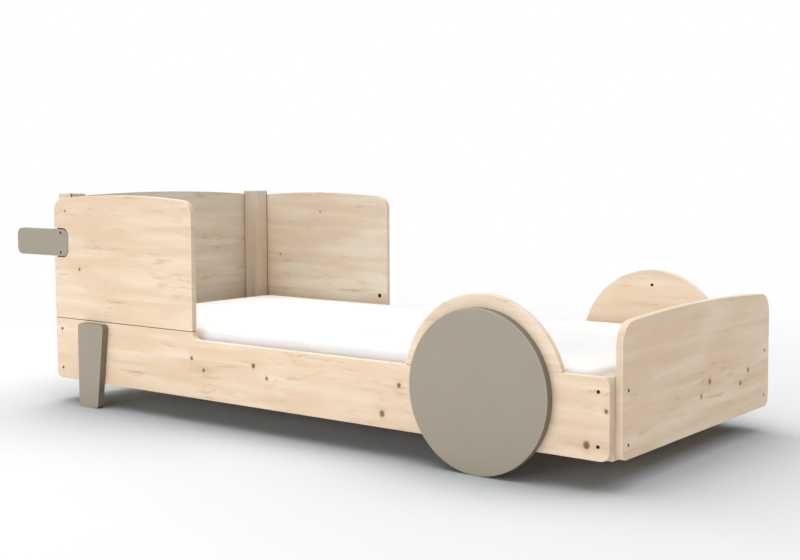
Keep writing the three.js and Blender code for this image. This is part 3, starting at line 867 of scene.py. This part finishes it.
for seed, name in enumerate(("head_post_near", "head_post_far", "foot_post_near", "foot_post_far"), 5):
    low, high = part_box(name)
    shape = square_outline(low, high)
    post = board(f"{name}_square", shape, low.z, high.z, UP, arris=POST_TOP_ARRIS)
    inner_y, outer_y = (high.y, low.y) if "near" in name else (low.y, high.y)
    board_x, open_x = (low.x, high.x) if "head" in name else (high.x, low.x)
    # Painted shade down the two corners of the post where it meets the end board and the rail.
    for x, y in ((board_x, inner_y), (open_x, outer_y)):
        mark_low = (x - POST_ARRIS, y - POST_ARRIS, low.z)
        mark_high = (x + POST_ARRIS, y + POST_ARRIS, high.z)
        paint_joint_shade(post, mark_low, mark_high)
    cover(name, post, pine(f"pine_{name}", "ZXY", seed, tone_and_painted_light=POST_PAINTED_SHADE))


# End boards: the tall headboard and the low footboard are arched pine boards, glued up from staves that
# run across the bed, and screwed to the posts.
END_CROWN = 0.016
END_BOTTOM_RADIUS = 0.024
FOOTBOARD_CORNER_RADIUS = 0.058
FOOTBOARD_KNOTS = [(0.769, 0.204, 0.008), (0.513, 0.205, 0.009),
                   (0.716, 0.1725, 0.007), (0.461, 0.172, 0.007)]
HEADBOARD_KNOTS = [(0.36, 0.52, 0.005), (0.61, 0.33, 0.005), (0.22, 0.44, 0.004)]
bed_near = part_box("side_rail_near")[0].y
# The headboard is made darker and cooler: painted shade.
HEADBOARD_PAINTED_SHADE = (0.88, 0.935, 1.0)
FOOTBOARD_TINT = (1.0, 0.99, 0.965)
END_BOARDS = ((9, "headboard", TOP_CORNER_RADIUS, HEADBOARD_KNOTS, HEADBOARD_PAINTED_SHADE),
              (10, "footboard", FOOTBOARD_CORNER_RADIUS, FOOTBOARD_KNOTS, FOOTBOARD_TINT))
for seed, node, corner_radius, spots, tone_and_painted_light in END_BOARDS:
    low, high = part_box(node)
    shape = outline([
        (low.y, low.z, END_BOTTOM_RADIUS),
        (high.y, low.z, END_BOTTOM_RADIUS),
        *arched_top(low.y, high.y, high.z, END_CROWN, corner_radius),
    ])
    bores = screw_bores(node, ALONG, (f"{node}_screw_",))
    made = board(f"{node}_board", shape, low.x, high.x, ALONG, bores)
    knots = [(bed_near + y, z, r) for y, z, r in spots]
    cover(node, made, pine(f"pine_{node}", "YZX", seed, knots, tone_and_painted_light))


# Mudguards: the part of a pine disc that shows round each wheel, standing on the rail's stepped top.
# A screw from inside the bed holds it to the wheel.
MUDGUARD_RADIUS = 0.248
MUDGUARD_STEPS = 72
# The mudguards are made paler: painted light.
MUDGUARD_PAINTED_LIGHT = {"near": (1.08, 1.09, 1.1), "far": (1.06, 1.05, 1.03)}
wheel_low, wheel_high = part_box("wheel_near")
wheel_x = (wheel_low.x + wheel_high.x) / 2
wheel_radius = (wheel_high.z - wheel_low.z) / 2
for seed, side in ((11, "near"), (12, "far")):
    node = f"mudguard_{side}"
    low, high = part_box(node)
    foot_z = RAIL_HIGH_TOP + (low.z - RAIL_LOW_TOP)
    start = math.asin((foot_z - wheel_radius) / MUDGUARD_RADIUS)
    end = math.pi - math.asin((low.z - wheel_radius) / MUDGUARD_RADIUS)
    angles = np.linspace(start, end, MUDGUARD_STEPS + 1)
    around = np.stack([np.cos(angles), np.sin(angles)], -1)
    rim = np.array([wheel_x, wheel_radius]) + MUDGUARD_RADIUS * around
    shape = outline([
        (*rim[0], 0),
        *((u, v, None) for u, v in rim[1:-1]),
        (*rim[-1], 0),
        (step_x, low.z, 0),
        (step_x, foot_z, 0),
    ])
    bores = screw_bores(node, ACROSS, ("mudguard_screw_",))
    made = board(f"{node}_board", shape, low.y, high.y, ACROSS, bores)
    # Painted shade along the mudguard's foot where it stands on the rail.
    paint_joint_shade(made, (low.x, low.y, low.z), (high.x, high.y, low.z + JOINT_SHADE_REACH))
    cover(node, made, pine(f"pine_{node}", "XZY", seed, tone_and_painted_light=MUDGUARD_PAINTED_LIGHT[side]))


# Wheels, legs and handles: boards 19 and 25 mm thick with rounded arrises, sprayed in warm grey lacquer.
# The wheels and legs are screwed to the rails from inside; the handles' lapped ends sit in the panels.
LACQUER_GREY = srgb(162, 153, 137)
LACQUER_DEEP = srgb(160, 151, 135)
# Painted shade for the narrow sides, and a painted highlight for the arrises.
LACQUER_SIDE_SHADE = srgb(118, 110, 98)
LACQUER_HIGHLIGHT = srgb(206, 199, 184)
DEPTH_RATE = 6.0
DEPTH_SHOWS = (0.35, 0.7)
DUST_RATE = 1700.0
DUST_TONE = (0.03, 0.985)
# How strongly the painted side shade and the painted arris highlight go over the grey.
SIDE_SHADE_SHARE = 0.9
LACQUER_HIGHLIGHT_SHARE = 0.4
PEEL_RATE = 520.0
PEEL_ROUGHNESS = (0.12, 0.4)
PEEL_HEIGHT = 0.8
UPRIGHT_GRAIN = (300.0, 300.0, 14.0)
UPRIGHT_GRAIN_HEIGHT = 0.35
LACQUER_BUMP = (0.12, 0.0003)
WHEEL_ARRIS = 0.003
WHEEL_SIDES = 240
LEG_TOP_WIDTH = 0.129
LEG_FOOT_WIDTH = 0.094
LEG_CORNER_RADIUS = 0.014


def lacquer(name):
    """Sprayed satin lacquer: one warm grey with a slow change of depth, the fine orange peel of the
    spray, a faint trace of the wood's grain under it, a painted highlight along the arrises, and painted
    shade over the board's narrow sides."""
    paint = Nodes(bpy.data.materials.new(name))
    place = paint.add("ShaderNodeTexCoord").outputs["Object"]
    peel = paint.noise(place, scale=PEEL_RATE)
    grain = paint.stretched(paint.parts(place)[:3], UPRIGHT_GRAIN)
    depth = paint.ramp(paint.noise(place, scale=DEPTH_RATE), *DEPTH_SHOWS)
    colour = paint.mix(depth, LACQUER_GREY, LACQUER_DEEP)
    colour = paint.toned(colour, paint.scaled(paint.noise(place, scale=DUST_RATE), *DUST_TONE))
    # Painted shade over the narrow sides, and a painted highlight along the arrises.
    colour = paint.mix(paint.times(paint.mark("rim"), SIDE_SHADE_SHARE), colour, LACQUER_SIDE_SHADE)
    colour = paint.mix(paint.times(paint.mark("painted_light"), LACQUER_HIGHLIGHT_SHARE), colour, LACQUER_HIGHLIGHT)
    height = paint.plus(paint.times(peel, PEEL_HEIGHT), paint.times(grain, UPRIGHT_GRAIN_HEIGHT))
    return paint.surface(colour, paint.scaled(peel, *PEEL_ROUGHNESS), paint.bump(height, *LACQUER_BUMP))


lacquer_finish = lacquer("warm_grey_lacquer")
for side in ("near", "far"):
    node = f"wheel_{side}"
    low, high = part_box(node)
    circle = unit_circle(WHEEL_SIDES)
    shape = (np.array([wheel_x, (low.z + high.z) / 2]) + wheel_radius * circle, circle)
    bores = screw_bores(node, ACROSS, ("mudguard_screw_", "wheel_screw_"))
    wheel = board(f"{node}_disc", shape, low.y, high.y, ACROSS, bores, WHEEL_ARRIS)
    cover(node, wheel, lacquer_finish)

    node = f"leg_{side}"
    low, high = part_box(node)
    shape = outline([
        (low.x, low.z, LEG_CORNER_RADIUS),
        (low.x + LEG_FOOT_WIDTH, low.z, LEG_CORNER_RADIUS),
        (low.x + LEG_TOP_WIDTH, high.z, LEG_CORNER_RADIUS),
        (low.x, high.z, LEG_CORNER_RADIUS),
    ])
    bores = screw_bores(node, ACROSS, ("leg_screw_",))
    leg = board(f"{node}_board", shape, low.y, high.y, ACROSS, bores)
    cover(node, leg, lacquer_finish)

    node = f"handle_{side}"
    low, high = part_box(node)
    shape = rectangle(low.x, low.z, high.x, high.z, HANDLE_CORNER_RADIUS, HANDLE_CORNER_RADIUS)
    bores = screw_bores(node, ACROSS, ("handle_screw_",))
    handle = board(f"{node}_board", shape, low.y, high.y, ACROSS, bores)
    lap_from, lap_to = panel_low.x - SCREW_PLAY, high.x + CUTTER_REACH
    lap = rectangle(lap_from, low.z - CUTTER_REACH, lap_to, high.z + CUTTER_REACH)
    cut_rebate(handle, lap, low.y, high.y, high.y - low.y - HANDLE_LAP, side == "far")
    cover(node, handle, lacquer_finish)


# Slatted base: two pine battens along the rails carry eleven loose pine slats. They keep their frame
# shapes and only get their wood.
SLAT_SEEDS = (13, 14, 15)
BATTEN_SEED = 16
slat_pine = [pine(f"pine_slats_{k}", "YXZ", seed) for k, seed in enumerate(SLAT_SEEDS)]
batten_pine = pine("pine_battens", "XZY", BATTEN_SEED)
for name in sorted(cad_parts):
    if name.startswith("slat_"):
        wood = batten_pine if "batten" in name else slat_pine[int(name[-2:]) % len(slat_pine)]
        node_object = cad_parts[name]
        node_object.data.materials.clear()
        node_object.data.materials.append(wood)


# Screws: dark steel furniture screws with a sunk cylinder head, through rails, end boards, handles,
# wheels, legs and mudguards. The head's socket is turned round, and the shank is smooth.
SOCKET_RADIUS = 0.0023
SOCKET_DEPTH = 0.003
HEAD_EASE = 0.0005
SCREW_SIDES = 48
for name in sorted(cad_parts):
    if "_screw_" not in name:
        continue
    low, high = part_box(name)
    size = high - low
    axis = int(np.argmax(np.array(size)))
    others = other_axes(axis)
    head = size[others[0]] / 2
    length = size[axis]
    start, way = (low[axis], 1) if head_first(name) else (high[axis], -1)
    centre = list((low + high) / 2)
    centre[axis] = start
    profile = [
        (0, SOCKET_DEPTH), (SOCKET_RADIUS, SOCKET_DEPTH), (SOCKET_RADIUS, HEAD_EASE / 2),
        (SOCKET_RADIUS + HEAD_EASE / 2, 0), (head - HEAD_EASE, 0), (head, HEAD_EASE),
        (head, SCREW_HEAD_HEIGHT), (SCREW_SHANK_RADIUS, SCREW_HEAD_HEIGHT),
        (SCREW_SHANK_RADIUS, length - SCREW_SHANK_RADIUS), (0, length),
    ]
    screw = turned(f"{name}_turned", profile, centre, axis, way, SCREW_SIDES)
    cover(name, screw, steel_finish)


# Mattress: a foam block in a plain white cotton cover, 90 x 200 x 16 cm, crowned a little, with its sides
# drawn in between the corners.
mattress_low, mattress_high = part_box("mattress")
COTTON = srgb(246, 246, 246)
COTTON_SHADE = srgb(241, 241, 242)
COTTON_RATE = 7.0
COTTON_DETAIL = 3.0
COTTON_SHOWS = (0.35, 0.7)
THREAD_WAVE = 5200.0
THREAD_LEAN = 0.5
THREAD_HEIGHT = 0.3
SLUB_RATES = (60.0, 900.0, 900.0)
SLUB_TONE = (0.02, 0.99)
SLUB_ROUGHNESS = (0.1, 0.82)
SLUB_HEIGHT = 0.7
THREAD_BUMP = (0.2, 0.0003)
CREASE_RATE = 9.0
CREASE_BUMP = (0.12, 0.004)
COTTON_SHADER = {
    "Subsurface Weight": 0.8,
    "Subsurface Radius": (1.0, 1.0, 1.0),
    "Subsurface Scale": 0.04,
    "Sheen Weight": 0.15,
    "Sheen Roughness": 0.6,
}
SEAM_FROM_FACE = 0.026
SEAM_WIDTH = 0.0016
SEAM_BUMP = (0.5, 0.0008)
STITCH_WAVE = 2 * math.pi / 0.004
STITCH_PULL = (0.2, 0.8)
MATTRESS_EDGE = 0.024
MATTRESS_EDGE_ROWS = 10
MATTRESS_CORNER = 0.045
START_INSET = 0.006
MOVE_CAP = 0.009
LEAST_MOVE = 1e-9
VOXEL = 0.016
CLOTH_PRESSURE = 4.0
CLOTH_FRAMES = 20


def rounded_block(name, low, high, edge, corner):
    """A block with round upright corners and round edges, with one face above and one below."""
    plan = rectangle(*low[:2], *high[:2], corner, corner)
    rings, _ = edge_rings(plan, low[2], high[2], UP, edge, MATTRESS_EDGE_ROWS)
    count = len(rings[0])
    faces = grid_faces(len(rings), count).tolist()
    last = (len(rings) - 1) * count
    faces += [list(range(count)), list(range(last, last + count))]
    return finished_mesh(name, np.concatenate(rings), faces)


def set_points(mesh, points):
    """Puts the corners of a mesh at rows (x, y, z)."""
    mesh.vertices.foreach_set("co", points.astype(np.float32).ravel())
    mesh.update()


def cotton(name, seams):
    """Plain white cotton: threads as two crossed waves, a slow change of tone, soft creases, and a sewn
    seam round the pad at each of the given heights: a groove with small dips where the stitches pull."""
    fabric = Nodes(bpy.data.materials.new(name))
    place = fabric.add("ShaderNodeTexCoord").outputs["Object"]
    x, y, z = fabric.parts(place)
    lean = fabric.times(z, THREAD_LEAN)
    warp, weft = (fabric.step("SINE", fabric.times(fabric.plus(way, lean), THREAD_WAVE)) for way in (x, y))
    slub = fabric.stretched((x, y, z), SLUB_RATES)
    slow = fabric.ramp(fabric.noise(place, COTTON_DETAIL, scale=COTTON_RATE), *COTTON_SHOWS)
    colour = fabric.toned(fabric.mix(slow, COTTON, COTTON_SHADE), fabric.scaled(slub, *SLUB_TONE))
    normal = fabric.bump(fabric.noise(place, COTTON_DETAIL, scale=CREASE_RATE), *CREASE_BUMP)
    wave = fabric.step("SINE", fabric.times(fabric.plus(x, y), STITCH_WAVE))
    stitches = fabric.scaled(wave, *STITCH_PULL)
    for seam in seams:
        groove = fabric.ramp(fabric.step("ABSOLUTE", fabric.minus(z, seam)), 0.0, SEAM_WIDTH)
        normal = fabric.bump(fabric.times(groove, stitches), *SEAM_BUMP, normal)
    weave = fabric.times(fabric.times(warp, weft), THREAD_HEIGHT)
    height = fabric.plus(weave, fabric.times(slub, SLUB_HEIGHT))
    roughness = fabric.scaled(slub, *SLUB_ROUGHNESS)
    return fabric.surface(colour, roughness, fabric.bump(height, *THREAD_BUMP, normal), **COTTON_SHADER)


start_low = np.array(mattress_low) + START_INSET
start_high = np.array(mattress_high) - START_INSET
pad = rounded_block("mattress_cover", start_low, start_high, MATTRESS_EDGE, MATTRESS_CORNER)
remesh = pad.modifiers.new("even", "REMESH")
remesh.mode = "VOXEL"
remesh.voxel_size = VOXEL
pad.data = evaluated_copy(pad)
pad.modifiers.clear()
rest = mesh_points(pad.data)
cloth = pad.modifiers.new("swell", "CLOTH")
cloth.settings.use_pressure = True
cloth.settings.uniform_pressure_force = CLOTH_PRESSURE
cloth.settings.effector_weights.gravity = 0
for number in range(1, CLOTH_FRAMES + 1):
    bpy.context.scene.frame_set(number)
swollen = evaluated_copy(pad)
moved = mesh_points(swollen) - rest
far = np.linalg.norm(moved, axis=1, keepdims=True)
pad.modifiers.clear()
bpy.context.scene.frame_set(1)
capped = MOVE_CAP * np.tanh(far / MOVE_CAP) / np.maximum(far, LEAST_MOVE)
set_points(pad.data, rest + moved * capped)
points = np.clip(mesh_points(pad.data), np.array(mattress_low), np.array(mattress_high))
set_points(pad.data, points)
pad.data.shade_smooth()
smooth = pad.modifiers.new("smooth", "SUBSURF")
smooth.levels = smooth.render_levels = 1
pad.data.materials.clear()
seam_heights = (mattress_low.z + SEAM_FROM_FACE, mattress_high.z - SEAM_FROM_FACE)
cover("mattress", pad, cotton("white_cotton", seam_heights), "mattress")


# Floor, lights and surroundings: a pale floor that keeps the bed's soft shadow, deepened by a painted
#  shadow under the bed, and fades to white away from it, a pale dome brightest overhead, and large soft
#  lamps above the head, in front of the near side and beyond the foot.
FLOOR_SIZE = 60.0
FLOOR_TONE = (0.9, 0.9, 0.9, 1.0)
FLOOR_SEEN_TONE = (0.85, 0.85, 0.85, 1.0)
# The painted shadow under the bed: its tint, and how the ambient occlusion sets its reach, start, curve and
# tone.
PAINTED_SHADOW_TINT = (0.86, 0.95, 1.05)
NOOK_SAMPLES = 8
NOOK_REACH = 0.85
NOOK_FULL = 0.22
NOOK_CURVE = 1.35
PAINTED_SHADOW_TONE = 0.48
FADE_FROM = 0.15
FADE_TO = 3.2
DOME_LIGHT = 2.4
DOME_LEAST = 0.02
DOME_FROM = 0.6
DOME_SEEN = 1.0
DOME_COLOUR = (1.0, 1.0, 1.0, 1.0)


def looked_at(nodes):
    """1 for what the camera sees, straight on, in a gloss or through glass, and 0 for all other light."""
    ray = nodes.add("ShaderNodeLightPath").outputs
    seen = nodes.plus(ray["Is Camera Ray"], ray["Is Glossy Ray"])
    return nodes.plus(seen, ray["Is Transmission Ray"], clamp=True)


def floor_finish(name):
    """A diffuse floor that, as the camera sees it, darkens into the nooks under the bed by (open share)
    to a power: a painted shadow on top of the one the lamps cast. It gives way to plain white with the
    distance from the bed's box. Light that only bounces meets one pale tone."""
    ground = Nodes(bpy.data.materials.new(name))
    ground.tree.nodes.remove(ground.shader)
    spot = ground.parts(ground.add("ShaderNodeTexCoord").outputs["Object"])
    beyond = [ground.step("MAXIMUM", ground.minus(ground.step("ABSOLUTE", at), edge), 0.0)
              for at, edge in zip(spot, (cad_high.x, cad_high.y))]
    seen = looked_at(ground)
    nook = ground.add("ShaderNodeAmbientOcclusion", samples=NOOK_SAMPLES)
    nook.inputs["Distance"].default_value = NOOK_REACH
    # Painted shadow: the floor's colour darkens where the ambient occlusion finds the bed close.
    above_full = ground.minus(nook.outputs["AO"], NOOK_FULL)
    open_share = ground.over(above_full, 1 - NOOK_FULL, clamp=True)
    painted_shadow_tone = (*(PAINTED_SHADOW_TONE * value for value in PAINTED_SHADOW_TINT), 1.0)
    tone = ground.mix(ground.step("POWER", open_share, NOOK_CURVE), painted_shadow_tone, FLOOR_SEEN_TONE)
    plain = ground.output("ShaderNodeBsdfDiffuse", ground.mix(seen, FLOOR_TONE, tone))
    white = ground.output("ShaderNodeEmission")
    fade = ground.times(ground.ramp(ground.length(*beyond), FADE_FROM, FADE_TO), seen)
    blend = ground.output("ShaderNodeMixShader", fade, plain, white)
    ground.feed(ground.tree.nodes["Material Output"].inputs["Surface"], blend)
    return ground.owner


half = FLOOR_SIZE / 2
floor_corners = [(-half, -half, 0), (half, -half, 0), (half, half, 0), (-half, half, 0)]
floor_mesh = bpy.data.meshes.new("floor")
floor_mesh.from_pydata(floor_corners, [], [(0, 1, 2, 3)])
floor_mesh.materials.append(floor_finish("pale_floor"))
floor = linked("floor", floor_mesh)

world = bpy.data.worlds.new("studio")
bpy.context.scene.world = world
sky = Nodes(world)
sky.tree.nodes.clear()
way = sky.parts(sky.add("ShaderNodeTexCoord").outputs["Generated"])
light = sky.ramp(way["Z"], DOME_FROM, 1.0, DOME_LEAST, DOME_LIGHT)
dome = sky.named("ShaderNodeMix", {"Factor": looked_at(sky), "A": light, "B": DOME_SEEN})
background = sky.output("ShaderNodeBackground", DOME_COLOUR, dome)
sky.feed(sky.add("ShaderNodeOutputWorld").inputs["Surface"], background)


def lamp(name, place, aim, size, watts):
    """A rectangular soft light that faces a point."""
    data = bpy.data.lights.new(name, "AREA")
    data.shape = "RECTANGLE"
    data.size, data.size_y = size
    data.energy = watts
    made = linked(name, data)
    made.location = place
    made.rotation_euler = (Vector(aim) - Vector(place)).to_track_quat("-Z", "Y").to_euler()


lamp("over the head", place=(-2.2, 0.6, 3.0), aim=(0, 0, 0), size=(2.4, 2.4), watts=42)
lamp("front", place=(-0.6, -4.8, 1.1), aim=(0, 0, 0.3), size=(4.0, 1.4), watts=68)
lamp("front right", place=(2.2, -4.6, 1.6), aim=(0, 0, 0.3), size=(2.4, 1.6), watts=15)
lamp("right back", place=(3.6, 1.6, 2.6), aim=(0, 0, 0.2), size=(2.4, 1.8), watts=11)

bpy.context.scene.view_settings.view_transform = "Standard"
